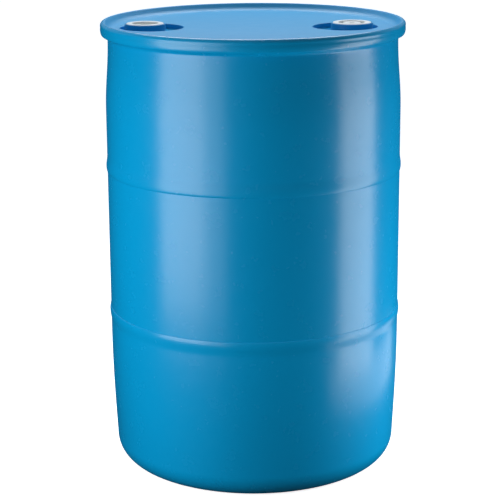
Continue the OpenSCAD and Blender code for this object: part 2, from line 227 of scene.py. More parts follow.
class Levels:
    """Heights and radii that several pieces share."""

    def __init__(self, scene):
        shell, openings, plugs = scene.drum_shell, scene.drum_openings, scene.drum_plugs
        self.rim_r = shell.rim_d / 2
        self.side_r = self.rim_r - shell.rim_overhang
        self.foot_r = self.side_r - shell.foot_taper
        self.neck_r = self.rim_r - shell.neck_in
        self.stand_r = self.foot_r - shell.foot_round
        self.base_r = self.stand_r - shell.stand_w - shell.base_ramp_w
        self.neck_z = shell.height - shell.neck_drop
        self.head_z = shell.height - shell.head_recess
        self.boss_z = shell.height - openings.boss_drop
        self.well_z = shell.height - openings.well_drop
        self.plug_top_z = COARSE_HIGH[2]
        self.plug_z = COARSE_LOW[2]
        self.seat_z = self.plug_top_z - plugs.head_h
        self.insert_top_z = self.seat_z - plugs.gasket_t
        self.insert_z = self.insert_top_z - openings.insert_h
        self.small_top_z = SMALL_HIGH[2]
        self.small_seat_z = self.small_top_z - plugs.small_head_h
        self.small_boss_z = self.small_seat_z - plugs.small_gasket_t
        self.small_thread_z = self.small_boss_z - plugs.small_thread_start - plugs.small_thread_h
        self.thread_z = self.insert_top_z - plugs.thread_start - plugs.thread_h


class Opening:
    """Radii of one threaded opening and of the plug that closes it."""

    def __init__(self, scene, low, high, depth, pitch):
        openings, plugs = scene.drum_openings, scene.drum_plugs
        self.x = (low[0] + high[0]) / 2
        self.pitch = pitch
        self.head_r = (high[0] - low[0]) / 2
        self.thread_r = self.head_r - plugs.flange
        self.barrel_r = self.thread_r - depth
        self.in_r = self.barrel_r - plugs.wall
        self.bore_r = self.thread_r + openings.thread_gap
        self.female_r = self.barrel_r + openings.thread_gap
        self.insert_r = self.bore_r + openings.insert_wall
        self.seat_r = self.head_r + plugs.side_gap
        self.boss_r = self.seat_r + openings.boss_lip
        self.well_r = self.boss_r + openings.well_w
        self.well_x = self.x - math.copysign(openings.well_shift, self.x)


def coarse_opening(scene):
    plugs = scene.drum_plugs
    return Opening(scene, COARSE_LOW, COARSE_HIGH, plugs.coarse_depth, plugs.coarse_pitch)


def fine_opening(scene):
    plugs = scene.drum_plugs
    return Opening(scene, FINE_LOW, FINE_HIGH, plugs.fine_depth, plugs.fine_pitch)


# Outlines in the (radius, height) plane


def ease(t):
    """Goes from 0 to 1 with level ends."""
    return (1 - math.cos(math.pi * min(max(t, 0.0), 1.0))) / 2


def arc(r, z, rounding, start, end, steps):
    """Points of an arc about (r, z), with its angles in degrees."""
    turn = [math.radians(start + (end - start) * i / steps) for i in range(steps + 1)]
    return [(r + rounding * math.cos(a), z + rounding * math.sin(a)) for a in turn]


def spaced(low, high, steps):
    return [low + (high - low) * i / steps for i in range(steps + 1)]


def rounded(corners, closed=True):
    """Outline through corners, each given as (radius, height, rounding)."""
    points = [Vector((r, z)) for r, z, _ in corners]
    last = len(points) - 1
    outline = []
    for i, (here, (_, _, rounding)) in enumerate(zip(points, corners)):
        if rounding == 0 or (not closed and i in (0, last)):
            outline.append(tuple(here))
            continue
        before = (points[i - 1] - here).normalized()
        after = (points[(i + 1) % len(points)] - here).normalized()
        half = math.acos(before.dot(after)) / 2
        centre = here + (before + after).normalized() * rounding / math.sin(half)
        reach = rounding / math.tan(half)
        start, end = here + before * reach - centre, here + after * reach - centre
        turn = math.atan2(start.x * end.y - start.y * end.x, start.dot(end))
        first = math.degrees(math.atan2(start.y, start.x))
        last_angle = first + math.degrees(turn)
        outline += arc(centre.x, centre.y, rounding, first, last_angle, CORNER_STEPS)
    return outline


def side_radius(shell, at, z):
    """Radius of the side at height z, without its hoops."""
    taper_top = shell.foot_round + shell.foot_taper_h
    if z < taper_top:
        share = max(0.0, z - shell.foot_round) / shell.foot_taper_h
        return at.foot_r + shell.foot_taper * math.sin(math.pi / 2 * share)
    return at.neck_r + (at.side_r - at.neck_r) * ease((at.neck_z - z) / shell.shoulder_h)


def side_outline(shell, at, inset, steps):
    """Outline of the side from the foot's corner up to the neck, moved in by inset."""
    above, below = 8 * MM, 5 * MM  # plain side left between a hoop and the next point
    long_flank = [(shell.hoop_long * t, shell.hoop_proud * ease(1 - t)) for t in spaced(0, 1, steps)]
    steep_flank = [
        (-shell.hoop_steep * math.sin(turn), shell.hoop_proud * math.cos(turn))
        for turn in spaced(0, math.pi / 2, steps)[1:]
    ]
    outline = []
    bottom = shell.foot_round + above
    for crest, up in ((shell.lower_hoop_z, -1), (shell.height - shell.upper_hoop_drop, 1)):
        hoop = sorted((crest + up * rise, swell) for rise, swell in long_flank + steep_flank)
        plain = spaced(bottom, hoop[0][0] - below, 2 * steps)
        outline += [(side_radius(shell, at, z) - inset, z) for z in plain]
        outline += [(side_radius(shell, at, z) + swell - inset, z) for z, swell in hoop]
        bottom = hoop[-1][0] + above
    plain = spaced(bottom, at.neck_z - 4 * MM, 2 * steps)
    return outline + [(side_radius(shell, at, z) - inset, z) for z in plain]


def base_ramp(shell, at, lift):
    """Outline of the ramp from the middle of the base down to the standing ring."""
    ramp = [
        (at.base_r + shell.base_ramp_w * t, shell.base_rise * (1 - ease(t)) + lift)
        for t in spaced(0, 1, 12)
    ]
    return [(at.base_r - FLAT, shell.base_rise + lift)] + ramp


def rim_outline(shell, at):
    """Outline of the rim: up from the neck, past a shallow groove, over the crest, down to the head."""
    top = shell.height
    cove_z = at.neck_z + 4 * MM
    face, lip = shell.rim_face_round, shell.rim_face_round - shell.rim_lip_round
    face_r, face_z = at.rim_r - face, top - shell.rim_face_h
    lip_turn = 22  # degrees below level at which the lip meets the face
    lip_r = face_r + lip * math.cos(math.radians(lip_turn))
    lip_z = face_z - lip * math.sin(math.radians(lip_turn))
    crest_r = at.rim_r - shell.rim_round
    slope, rounds = shell.rim_slope, shell.rim_in_round + shell.head_round
    straight_h = shell.head_recess - rounds * (1 - math.cos(slope))
    head_r = crest_r - rounds * math.sin(slope) - straight_h / math.tan(slope)
    slope_turn = math.degrees(slope)
    return (
        arc(at.neck_r + shell.rim_cove, cove_z, shell.rim_cove, 180, 120, 8)
        + arc(lip_r, lip_z, shell.rim_lip_round, -60, -lip_turn, 6)
        + arc(face_r, face_z, face, -17, 8, 7)
        + arc(crest_r, top - shell.rim_round, shell.rim_round, -16, 90, 16)
        + arc(crest_r, top - shell.rim_in_round, shell.rim_in_round, 90, 90 + slope_turn, 10)
        + arc(head_r, at.head_z + shell.head_round, shell.head_round, slope_turn - 90, -90, 14)
        + [(head_r - FLAT, at.head_z)]
    )


# Modelling steps that several pieces share


def only(*objects):
    """Deselects everything, then selects these objects and makes the first one active."""
    bpy.ops.object.select_all(action="DESELECT")
    for obj in objects:
        obj.select_set(True)
    bpy.context.view_layer.objects.active = objects[0]


def select_where(obj, wanted, of="verts"):
    """In edit mode, selects only the vertices, edges or faces that wanted() picks."""
    mesh = bmesh.from_edit_mesh(obj.data)
    for element in [*mesh.faces, *mesh.edges, *mesh.verts]:
        element.select = False
    chosen = [element for element in getattr(mesh, of) if wanted(element)]
    for element in chosen:
        element.select_set(True)
    bmesh.update_edit_mesh(obj.data)
    return chosen


def drawn(name, outline, x=0.0, closed=True):
    """A line through the outline's points in the XZ plane, drawn by extruding one vertex."""
    bpy.ops.object.select_all(action="DESELECT")
    bpy.ops.mesh.primitive_plane_add(size=MM)
    obj = bpy.context.object
    obj.name = obj.data.name = name
    bpy.ops.object.mode_set(mode="EDIT")
    bpy.ops.mesh.merge(type="CENTER")
    points = [Vector((x + r, 0.0, z)) for r, z in outline]
    bpy.ops.transform.translate(value=points[0])
    for here, there in zip(points, points[1:]):
        bpy.ops.mesh.extrude_region_move(TRANSFORM_OT_translate={"value": there - here})
    if closed:
        ends = (points[0], points[-1])
        select_where(obj, lambda v: any((v.co - end).length < WELD for end in ends))
        bpy.ops.mesh.edge_face_add()
    bpy.ops.mesh.select_all(action="SELECT")
    return obj


def lathe(name, outline, x=0.0, steps=ROUND_STEPS, closed=True):
    """A piece turned about the vertical line at x."""
    obj = drawn(name, outline, x, closed)
    bpy.ops.mesh.spin(steps=steps, angle=math.tau, center=(x, 0.0, 0.0), axis=(0.0, 0.0, 1.0))
    bpy.ops.mesh.select_all(action="SELECT")
    bpy.ops.mesh.remove_doubles(threshold=WELD)
    bpy.ops.mesh.normals_make_consistent(inside=False)
    bpy.ops.object.mode_set(mode="OBJECT")
    return obj


def cylinder(name, x, r, low, high):
    bpy.ops.object.select_all(action="DESELECT")
    bpy.ops.mesh.primitive_cylinder_add(
        vertices=ROUND_STEPS, radius=r, depth=high - low, location=(x, 0.0, (low + high) / 2)
    )
    bpy.context.object.name = name
    bpy.ops.object.transform_apply(location=True, rotation=True, scale=True)
    return bpy.context.object


def bar(name, low, high, rounding, wanted):
    """A box between two corners whose edges that wanted() picks are rounded."""
    bpy.ops.object.select_all(action="DESELECT")
    low, high = Vector(low), Vector(high)
    bpy.ops.mesh.primitive_cube_add(size=1.0, location=(low + high) / 2)
    obj = bpy.context.object
    obj.name = obj.data.name = name
    obj.scale = high - low
    bpy.ops.object.transform_apply(location=True, rotation=True, scale=True)
    bpy.ops.object.mode_set(mode="EDIT")
    select_where(obj, wanted, "edges")
    bpy.ops.mesh.bevel(offset=rounding, segments=4, affect="EDGES")
    bpy.ops.object.mode_set(mode="OBJECT")
    return obj


def join(first, *others):
    only(first, *others)
    bpy.ops.object.join()
    return first


def fill(obj, z, *rings):
    """Fills the flat face at height z between open rings, each given as (x of its middle, radius)."""
    only(obj)
    bpy.ops.object.mode_set(mode="EDIT")
    bpy.ops.mesh.select_mode(type="EDGE")

    def on_ring(v):
        if abs(v.co.z - z) > WELD:
            return False
        return any(abs(math.hypot(v.co.x - x, v.co.y) - r) < 5 * WELD for x, r in rings)

    select_where(obj, lambda e: e.is_boundary and on_ring(e.verts[0]) and on_ring(e.verts[1]), "edges")
    if len(rings) == 1:
        bpy.ops.mesh.edge_face_add()
    else:
        bpy.ops.mesh.fill(use_beauty=True)
    bpy.ops.mesh.select_mode(type="VERT")
    bpy.ops.object.mode_set(mode="OBJECT")


def point_outwards(obj):
    only(obj)
    bpy.ops.object.mode_set(mode="EDIT")
    bpy.ops.mesh.select_all(action="SELECT")
    bpy.ops.mesh.remove_doubles(threshold=WELD)
    bpy.ops.mesh.normals_make_consistent(inside=False)
    bpy.ops.object.mode_set(mode="OBJECT")


def capped_lathe(name, outline, x=0.0):
    """A turned piece with flat ends, which are filled at the outline's first and last points."""
    obj = lathe(name, outline, x, closed=False)
    for r, z in (outline[0], outline[-1]):
        fill(obj, z, (x, r))
    point_outwards(obj)
    return obj


def combine(obj, operation, *others):
    """Applies a boolean with each of the other objects, which are used up."""
    for other in others:
        only(obj)
        modifier = obj.modifiers.new("combine", "BOOLEAN")
        modifier.operation = operation
        modifier.solver = "EXACT"
        modifier.object = other
        bpy.ops.object.modifier_apply(modifier=modifier.name)
        only(other)
        bpy.ops.object.delete()
    only(obj)
    return obj


def thread(name, x, root_r, tip_r, pitch, low_z, height, phase=0.0):
    """A helical ridge from radius root_r to tip_r that sinks to nothing at its ends."""
    root_share, tip_share, buried_share = 0.4, 0.16, 0.15
    root_w, tip_w = root_share * pitch, tip_share * pitch
    corners = [(root_r, -root_w / 2), (tip_r, -tip_w / 2), (tip_r, tip_w / 2), (root_r, root_w / 2)]
    obj = drawn(name, corners)
    bpy.ops.object.mode_set(mode="OBJECT")
    turns = height / pitch
    steps = round(THREAD_STEPS * turns)
    screw = obj.modifiers.new("screw", "SCREW")
    screw.axis = "Z"
    screw.angle = math.tau * turns
    screw.screw_offset = height
    screw.steps = screw.render_steps = steps
    screw.use_smooth_shade = False
    bpy.ops.object.modifier_apply(modifier=screw.name)
    bpy.ops.object.mode_set(mode="EDIT")
    bpy.ops.mesh.select_all(action="DESELECT")
    bpy.ops.mesh.select_non_manifold()
    bpy.ops.mesh.edge_face_add()
    fade = THREAD_STEPS // 6
    buried_r = root_r + buried_share * (tip_r - root_r)
    for step in range(fade):
        share = ease(step / fade)
        stations = (step, steps - step)
        select_where(
            obj,
            lambda v: v.index // 4 in stations and abs(math.hypot(v.co.x, v.co.y) - tip_r) < 5 * WELD,
        )
        size = (buried_r + (tip_r - buried_r) * share) / tip_r
        bpy.ops.transform.resize(value=(size, size, 1.0), center_override=(0.0, 0.0, 0.0))
    bpy.ops.mesh.select_all(action="SELECT")
    bpy.ops.mesh.normals_make_consistent(inside=False)
    bpy.ops.object.mode_set(mode="OBJECT")
    obj.rotation_euler.z = phase
    obj.location = (x, 0.0, low_z)
    bpy.ops.object.transform_apply(location=True, rotation=True, scale=True)
    return obj


def finish_piece(obj, node, body, material):
    """Shades a piece, gives it its material, and puts it in the place of its node."""
    only(obj)
    bpy.ops.object.shade_smooth_by_angle(angle=SMOOTH_ANGLE)
    obj.data.materials.clear()
    obj.data.materials.append(material)
    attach(obj, body)
    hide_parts(node)


# Materials


class Finish:
    """A material whose nodes are added one after another, left to right."""

    def __init__(self, name, colour, roughness, specular):
        self.material = bpy.data.materials.new(name)
        self.material.use_nodes = True
        self.tree = self.material.node_tree
        self.shader = self.tree.nodes["Principled BSDF"]
        self.shader.inputs["Base Color"].default_value = (*colour, 1.0)
        self.shader.inputs["Roughness"].default_value = roughness
        self.shader.inputs["Specular IOR Level"].default_value = specular
        self.place = self.add("ShaderNodeTexCoord").outputs["Object"]

    def add(self, kind, settings=None, **inputs):
        """Adds a node; an input takes a value, or the socket that feeds it."""
        node = self.tree.nodes.new(kind)
        node.location = (-1400 + 180 * len(self.tree.nodes), 0)
        for key, value in (settings or {}).items():
            setattr(node, key, value)
        for key, value in inputs.items():
            socket = node.inputs[key.replace("_", " ")]
            if isinstance(value, bpy.types.NodeSocket):
                self.tree.links.new(value, socket)
            else:
                socket.default_value = value
        return node

    def link(self, source, target):
        self.tree.links.new(source, self.shader.inputs[target])

    def stretched(self, scale):
        return self.add("ShaderNodeMapping", Vector=self.place, Scale=scale).outputs["Vector"]

    def noise(self, scale, detail, place=None):
        node = self.add("ShaderNodeTexNoise", Vector=place or self.place, Scale=scale, Detail=detail)
        return node.outputs["Factor" if "Factor" in node.outputs else "Fac"]

    def ramp(self, value, start, end, low, high):
        """Goes from low at the start to high at the end, and stays level outside them."""
        node = self.add("ShaderNodeMapRange", Value=value)
        for key, number in (("From Min", start), ("From Max", end), ("To Min", low), ("To Max", high)):
            node.inputs[key].default_value = number
        return node.outputs["Result"]

    def between(self, factor, low, high):
        """Maps noise, which lies mostly from 0.3 to 0.7, onto the range from low to high."""
        return self.ramp(factor, 0.3, 0.7, low, high)

    def shaded(self, factor, colour, low, high):
        """Colour made a little darker or lighter by the factor."""
        node = self.add("ShaderNodeMix", {"data_type": "RGBA", "blend_type": "MULTIPLY"})
        node.inputs[0].default_value = 1.0
        node.inputs[6].default_value = (*colour, 1.0)
        self.tree.links.new(self.between(factor, low, high), node.inputs[7])
        return node.outputs[2]

    def bump(self, height, distance):
        node = self.add("ShaderNodeBump", Height=height, Distance=distance, Strength=1.0)
        return node.outputs["Normal"]


def blue_polyethylene(scene):
    """Satin blow-moulded polyethylene with slow colour drift, faint drawn lines and a matt head."""
    colour = scene.drum_colours.shell
    finish = Finish("blue_polyethylene", colour, 0.26, 0.48)
    finish.link(finish.shaded(finish.noise(2.6, 2.0), colour, 0.97, 1.03), "Base Color")
    height = finish.add("ShaderNodeSeparateXYZ", Vector=finish.place).outputs["Z"]
    head_z = scene.drum_shell.height - scene.drum_shell.head_recess
    matt = 0.18  # roughness that the head has over the side's
    high = finish.ramp(height, head_z - 8 * MM, head_z - 2 * MM, 0.0, matt)
    flattened = finish.stretched((1.0, 1.0, 0.0))
    across = finish.add("ShaderNodeVectorMath", {"operation": "LENGTH"}, Vector=flattened)
    crest_r = scene.drum_shell.rim_d / 2 - 9 * MM
    inside = finish.ramp(across.outputs["Value"], crest_r, crest_r + 4 * MM, 1.0, 0.0)
    satin = finish.between(finish.noise(38.0, 3.0), 0.24, 0.28)
    rough = finish.add("ShaderNodeMath", {"operation": "MULTIPLY_ADD"})
    for source, socket in zip((high, inside, satin), rough.inputs):
        finish.tree.links.new(source, socket)
    finish.link(rough.outputs[0], "Roughness")
    drawn_lines = finish.noise(22.0, 2.0, finish.stretched((1.0, 1.0, 0.03)))
    finish.link(finish.bump(drawn_lines, 0.06 * MM), "Normal")
    return finish.material


def blue_insert(scene):
    """Injection-moulded polyethylene of the threaded inserts, a shade darker than the shell."""
    shade = 0.86
    colour = tuple(shade * channel for channel in scene.drum_colours.shell)
    finish = Finish("blue_insert_polyethylene", colour, 0.28, 0.4)
    finish.link(finish.shaded(finish.noise(30.0, 2.0), colour, 0.95, 1.05), "Base Color")
    finish.link(finish.between(finish.noise(160.0, 2.0), 0.24, 0.33), "Roughness")
    finish.link(finish.bump(finish.noise(1300.0, 2.0), 0.01 * MM), "Normal")
    return finish.material


def white_plug(scene):
    """White moulded plugs with a fine matt texture and slight flow marks."""
    colour = scene.drum_colours.plug
    finish = Finish("white_plug_polyethylene", colour, 0.42, 0.45)
    flow = finish.noise(45.0, 3.0, finish.stretched((1.0, 1.0, 0.4)))
    finish.link(finish.shaded(flow, colour, 0.965, 1.02), "Base Color")
    finish.link(finish.between(finish.noise(220.0, 3.0), 0.37, 0.48), "Roughness")
    finish.link(finish.bump(finish.noise(2200.0, 3.0), 0.03 * MM), "Normal")
    return finish.material


def gasket_rubber(scene):
    """Black sealing rubber, matt and faintly mottled."""
    colour = scene.drum_colours.rubber
    finish = Finish("sealing_rubber", colour, 0.62, 0.4)
    finish.link(finish.shaded(finish.noise(260.0, 4.0), colour, 0.75, 1.3), "Base Color")
    finish.link(finish.between(finish.noise(500.0, 3.0), 0.55, 0.7), "Roughness")
    finish.link(finish.bump(finish.noise(1800.0, 4.0), 0.05 * MM), "Normal")
    return finish.material


def pale_floor(scene):
    colour = scene.drum_colours.floor
    finish = Finish("pale_floor", colour, 0.9, 0.1)
    finish.link(finish.shaded(finish.noise(0.7, 1.0), colour, 0.995, 1.005), "Base Color")
    finish.shader.inputs["Emission Color"].default_value = (1.0, 1.0, 1.0, 1.0)
    finish.shader.inputs["Emission Strength"].default_value = scene.drum_stage.floor_glow
    return finish.material


MATERIALS = {}


def material_of(scene, make):
    """Makes a material once, and hands out the same one after that."""
    if make.__name__ not in MATERIALS:
        MATERIALS[make.__name__] = make(scene)
    return MATERIALS[make.__name__]


# Operators


class DRUM_OT_shell(bpy.types.Operator):
    """Models the blow-moulded shell: base, side, hoops, rim, head, wells and bosses"""

    bl_idname = "drum.shell"
    bl_label = "Shell"

    def execute(self, context):
        scene = context.scene
        shell, at = scene.drum_shell, Levels(scene)
        both = (coarse_opening(scene), fine_opening(scene))
        outer = self.outer_skin(scene, shell, at, both)
        self.parting_line(outer, shell, at)
        combine(outer, "UNION", self.pinch_off(shell))
        combine(outer, "DIFFERENCE", self.air(shell, at, both))
        for opening in both:
            combine(outer, "DIFFERENCE", self.insert_cavity(scene, at, opening))
        finish_piece(outer, "drum_body", "root", material_of(scene, blue_polyethylene))
        return {"FINISHED"}

    def outer_skin(self, scene, shell, at, both):
        outline = (
            base_ramp(shell, at, 0.0)
            + arc(at.stand_r, shell.foot_round, shell.foot_round, -90, 0, 24)
            + side_outline(shell, at, 0.0, 12)
            + rim_outline(shell, at)
        )
        skin = lathe("drum_shell", outline, steps=SHELL_STEPS, closed=False)
        edge = scene.drum_openings.well_round
        past_edge = edge + FLAT
        lip, seat_corner = 1 * MM, 0.5 * MM
        fill(skin, shell.base_rise, (0.0, at.base_r - FLAT))
        for opening in both:
            well_r, boss_r, seat_r = opening.well_r, opening.boss_r, opening.seat_r
            well = [
                (well_r + past_edge, at.head_z, 0),
                (well_r, at.head_z, edge),
                (well_r, at.well_z, edge),
                (well_r - past_edge, at.well_z, 0),
            ]
            boss = [
                (boss_r + past_edge, at.well_z, 0),
                (boss_r, at.well_z, edge),
                (boss_r, at.boss_z, lip),
                (seat_r, at.boss_z, lip / 2),
                (seat_r, at.insert_top_z, seat_corner),
                (seat_r - seat_corner - FLAT, at.insert_top_z, 0),
            ]
            for name, corners, x in (("well", well, opening.well_x), ("boss", boss, opening.x)):
                join(skin, lathe(name, rounded(corners, closed=False), x, closed=False))
            fill(skin, at.well_z, (opening.well_x, well_r - past_edge), (opening.x, boss_r + past_edge))
            fill(skin, at.insert_top_z, (opening.x, seat_r - seat_corner - FLAT))
        wells = [(opening.well_x, opening.well_r + past_edge) for opening in both]
        fill(skin, at.head_z, (0.0, outline[-1][0]), *wells)
        point_outwards(skin)
        return skin

    def parting_line(self, obj, shell, at):
        """Raises a thin line down each side, where the mould's halves met."""
        top = shell.height - shell.rim_face_h
        only(obj)
        bpy.ops.object.mode_set(mode="EDIT")

        def on_seam(e):
            return all(
                abs(v.co.y) < WELD and abs(v.co.x) > at.stand_r and shell.seam_w < v.co.z < top
                for v in e.verts
            )

        select_where(obj, on_seam, "edges")
        bpy.ops.mesh.bevel(offset=shell.seam_w / 2, segments=2, affect="EDGES")
        low, short_of_rim = shell.foot_round / 4, 3 * MM
        for side in (-1, 1):
            select_where(
                obj,
                lambda v: abs(v.co.y) < WELD
                and v.co.x * side > at.stand_r
                and low < v.co.z < top - short_of_rim,
            )
            bpy.ops.transform.translate(value=(side * shell.seam_h, 0.0, 0.0))
        bpy.ops.object.mode_set(mode="OBJECT")

    def pinch_off(self, shell):
        """The seam under the base where the mould pinched the parison shut."""
        low = (-shell.pinch_l / 2, -shell.pinch_w / 2, shell.base_rise - shell.pinch_h)
        high = (shell.pinch_l / 2, shell.pinch_w / 2, shell.base_rise + PAST)

        def hangs(e):
            return all(v.co.z < shell.base_rise for v in e.verts)

        return bar("pinch_off", low, high, shell.pinch_h / 2, hangs)

    def air(self, shell, at, both):
        """The space inside the shell, less the wells' pans and the bosses that hang into it."""
        head_low = at.head_z - shell.head_t
        neck_r = at.neck_r - shell.wall
        corner = 8 * MM
        outline = (
            base_ramp(shell, at, shell.wall)
            + arc(at.stand_r, shell.foot_round, shell.foot_round - shell.wall, -90, 0, 12)
            + side_outline(shell, at, shell.wall, 4)
            + [(neck_r, at.neck_z)]
            + arc(neck_r - corner, head_low - corner, corner, 0, 90, 6)
            + [(neck_r - corner - FLAT, head_low)]
        )
        space = capped_lathe("air", outline)
        for opening in both:
            pan_r, pan_z = opening.well_r + shell.head_t, at.well_z - shell.head_t
            pan = cylinder("pan", opening.well_x, pan_r, pan_z, at.head_z)
            boss = cylinder("boss", opening.x, opening.boss_r, at.insert_z, at.head_z)
            combine(space, "DIFFERENCE", pan, boss)
        return space

    def insert_cavity(self, scene, at, opening):
        outline = insert_outside(scene, at, opening)
        outline[0] = (outline[0][0], at.insert_z - PAST)
        outline[-1] = (outline[-1][0], at.insert_top_z + PAST)
        return capped_lathe("insert_cavity", outline, opening.x)


def insert_outside(scene, at, opening):
    """Outline of an insert's outside, from its foot to its top, over the locking ring."""
    openings = scene.drum_openings
    middle = at.insert_z + openings.insert_h / 2
    low, high = middle - openings.lock_h / 2, middle + openings.lock_h / 2
    r, lock_r = opening.insert_r, opening.insert_r + openings.lock_w
    return [(r, at.insert_z), (r, low), (lock_r, low), (lock_r, high), (r, high), (r, at.insert_top_z)]


class DRUM_OT_inserts(bpy.types.Operator):
    """Models the two threaded inserts that are moulded into the bosses"""

    bl_idname = "drum.inserts"
    bl_label = "Threaded inserts"

    def execute(self, context):
        scene = context.scene
        at, openings = Levels(scene), scene.drum_openings
        lead = 1 * MM
        for name, opening in (("coarse", coarse_opening(scene)), ("fine", fine_opening(scene))):
            outline = insert_outside(scene, at, opening) + [
                (opening.bore_r + lead, at.insert_top_z),
                (opening.bore_r, at.insert_top_z - lead),
                (opening.bore_r, at.insert_z + lead / 2),
                (opening.bore_r + lead / 2, at.insert_z),
            ]
            insert = lathe(f"{name}_insert", outline, opening.x)
            start = at.insert_z + opening.pitch
            phase = math.tau * ((start - at.thread_z) / opening.pitch - 0.5)
            height = openings.insert_h - 2 * opening.pitch - lead
            root_r, tip_r = opening.bore_r + SUNK, opening.female_r
            ridge = thread("ridge", opening.x, root_r, tip_r, opening.pitch, start, height, phase)
            combine(insert, "UNION", ridge)
            node = f"{name}_thread_insert"
            finish_piece(insert, node, "root", material_of(scene, blue_insert))
        return {"FINISHED"}


class DRUM_OT_gaskets(bpy.types.Operator):
    """Models the three ring gaskets with rounded edges"""

    bl_idname = "drum.gaskets"
    bl_label = "Gaskets"

    def execute(self, context):
        scene = context.scene
        at, plugs = Levels(scene), scene.drum_plugs
        coarse, fine = coarse_opening(scene), fine_opening(scene)
        small_r = (SMALL_HIGH[0] - SMALL_LOW[0]) / 2
        small_barrel_r = small_r - plugs.small_flange - plugs.small_depth
        large = (plugs.gasket_trim, at.seat_z, plugs.gasket_t)
        small = (plugs.small_gasket_trim, at.small_seat_z, plugs.small_gasket_t)
        rings = (
            ("coarse", coarse.x, coarse.barrel_r, coarse.head_r, *large),
            ("fine", fine.x, fine.barrel_r, fine.head_r, *large),
            ("small", coarse.x, small_barrel_r, small_r, *small),
        )
        for name, x, barrel_r, head_r, trim, seat_z, thickness in rings:
            out_r = head_r - trim
            in_r, soft = barrel_r + plugs.turn_gap, SOFT_SHARE * thickness
            corners = [
                (in_r, seat_z - thickness, soft),
                (out_r, seat_z - thickness, soft),
                (out_r, seat_z, soft),
                (in_r, seat_z, soft),
            ]
            gasket = lathe(f"{name}_gasket", rounded(corners), x)
            rubber = material_of(scene, gasket_rubber)
            finish_piece(gasket, f"{name}_plug_gasket", f"{name}_gasket", rubber)
        return {"FINISHED"}


def plug_skirt(opening, at, plugs):
    """Corners of a large plug from its barrel's foot, over its head, down to its floor."""
    return [
        (opening.barrel_r, at.plug_z, ROUND_EDGE),
        (opening.barrel_r, at.seat_z, FINE_EDGE),
        (opening.head_r, at.seat_z, 0.5 * MM),
        (opening.head_r, at.plug_top_z, ROUND_EDGE),
        (opening.in_r, at.plug_top_z, 1.0 * MM),
        (opening.in_r, at.plug_z + plugs.wall, INNER_ROUND),
    ]


def plug_thread(opening, at, plugs):
    root_r = opening.barrel_r - SUNK
    return thread(
        "male", opening.x, root_r, opening.thread_r, opening.pitch, at.thread_z, plugs.thread_h
    )


def drive_ribs(opening, at, plugs, in_r, high_z):
    """Four ribs at 45 degrees to the axes, which a wrench's lugs push on."""
    x, width = opening.x, plugs.rib_w
    out_r, low_z = opening.barrel_r - plugs.wall / 2, at.plug_z + plugs.wall / 2
    ribs = []
    top_edge = 1 * MM
    for quarter in range(4):
        rib = bar(
            "rib",
            (x + in_r, -width / 2, low_z),
            (x + out_r, width / 2, high_z),
            top_edge,
            lambda e: all(v.co.z > (low_z + high_z) / 2 for v in e.verts),
        )
        bpy.ops.object.mode_set(mode="EDIT")
        bpy.ops.mesh.select_all(action="SELECT")
        turn = -(math.pi / 4 + quarter * math.pi / 2)
        bpy.ops.transform.rotate(value=turn, orient_axis="Z", center_override=(x, 0.0, 0.0))
        bpy.ops.object.mode_set(mode="OBJECT")
        ribs.append(rib)
    return join(*ribs)


class DRUM_OT_coarse_plug(bpy.types.Operator):
    """Models the coarse-threaded plug with the threaded boss in its middle"""

    bl_idname = "drum.coarse_plug"
    bl_label = "Coarse plug"

    def execute(self, context):
        scene = context.scene
        at, plugs, openings = Levels(scene), scene.drum_plugs, scene.drum_openings
        opening = coarse_opening(scene)
        small_r = (SMALL_HIGH[0] - SMALL_LOW[0]) / 2
        bore_r = small_r - plugs.small_flange + openings.thread_gap
        floor_z = at.plug_z + plugs.wall
        corners = [
            (bore_r, at.plug_z, SOFT_EDGE),
            *plug_skirt(opening, at, plugs),
            (small_r, floor_z, INNER_ROUND),
            (small_r, at.small_boss_z, SOFT_EDGE),
            (bore_r, at.small_boss_z, SOFT_EDGE),
        ]
        plug = lathe("coarse_screw_plug", rounded(corners), opening.x)
        rib_top = at.small_boss_z - plugs.coarse_rib_drop
        ribs = drive_ribs(opening, at, plugs, small_r - 1 * MM, rib_top)
        male = plug_thread(opening, at, plugs)
        pitch = plugs.small_pitch
        start = at.plug_z + pitch
        height = at.small_boss_z - at.plug_z - 2 * pitch
        phase = math.tau * ((start - at.small_thread_z) / pitch - 0.5)
        root_r, tip_r = bore_r + SUNK, bore_r - plugs.small_depth
        female = thread("female", opening.x, root_r, tip_r, pitch, start, height, phase)
        combine(plug, "UNION", ribs, male, female)
        finish_piece(plug, "coarse_plug", "coarse_plug", material_of(scene, white_plug))
        return {"FINISHED"}


class DRUM_OT_fine_plug(bpy.types.Operator):
    """Models the fine-threaded plug, which is closed"""

    bl_idname = "drum.fine_plug"
    bl_label = "Fine plug"

    def execute(self, context):
        scene = context.scene
        at, plugs = Levels(scene), scene.drum_plugs
        opening = fine_opening(scene)
        floor_z = at.plug_z + plugs.wall
        gate_r, gate_h = 2.5 * MM, 0.4 * MM
        corners = [
            (CORE_R, at.plug_z, 0),
            *plug_skirt(opening, at, plugs),
            (gate_r, floor_z, FINE_EDGE),
            (gate_r, floor_z + gate_h, FINE_EDGE / 2),
            (gate_r / 2, floor_z + gate_h, 0),
        ]
        plug = capped_lathe("fine_screw_plug", rounded(corners, closed=False), opening.x)
        rib_top = at.plug_top_z - plugs.fine_rib_drop
        ribs = drive_ribs(opening, at, plugs, opening.in_r - plugs.fine_rib_l, rib_top)
        combine(plug, "UNION", ribs, plug_thread(opening, at, plugs))
        finish_piece(plug, "fine_plug", "fine_plug", material_of(scene, white_plug))
        return {"FINISHED"}


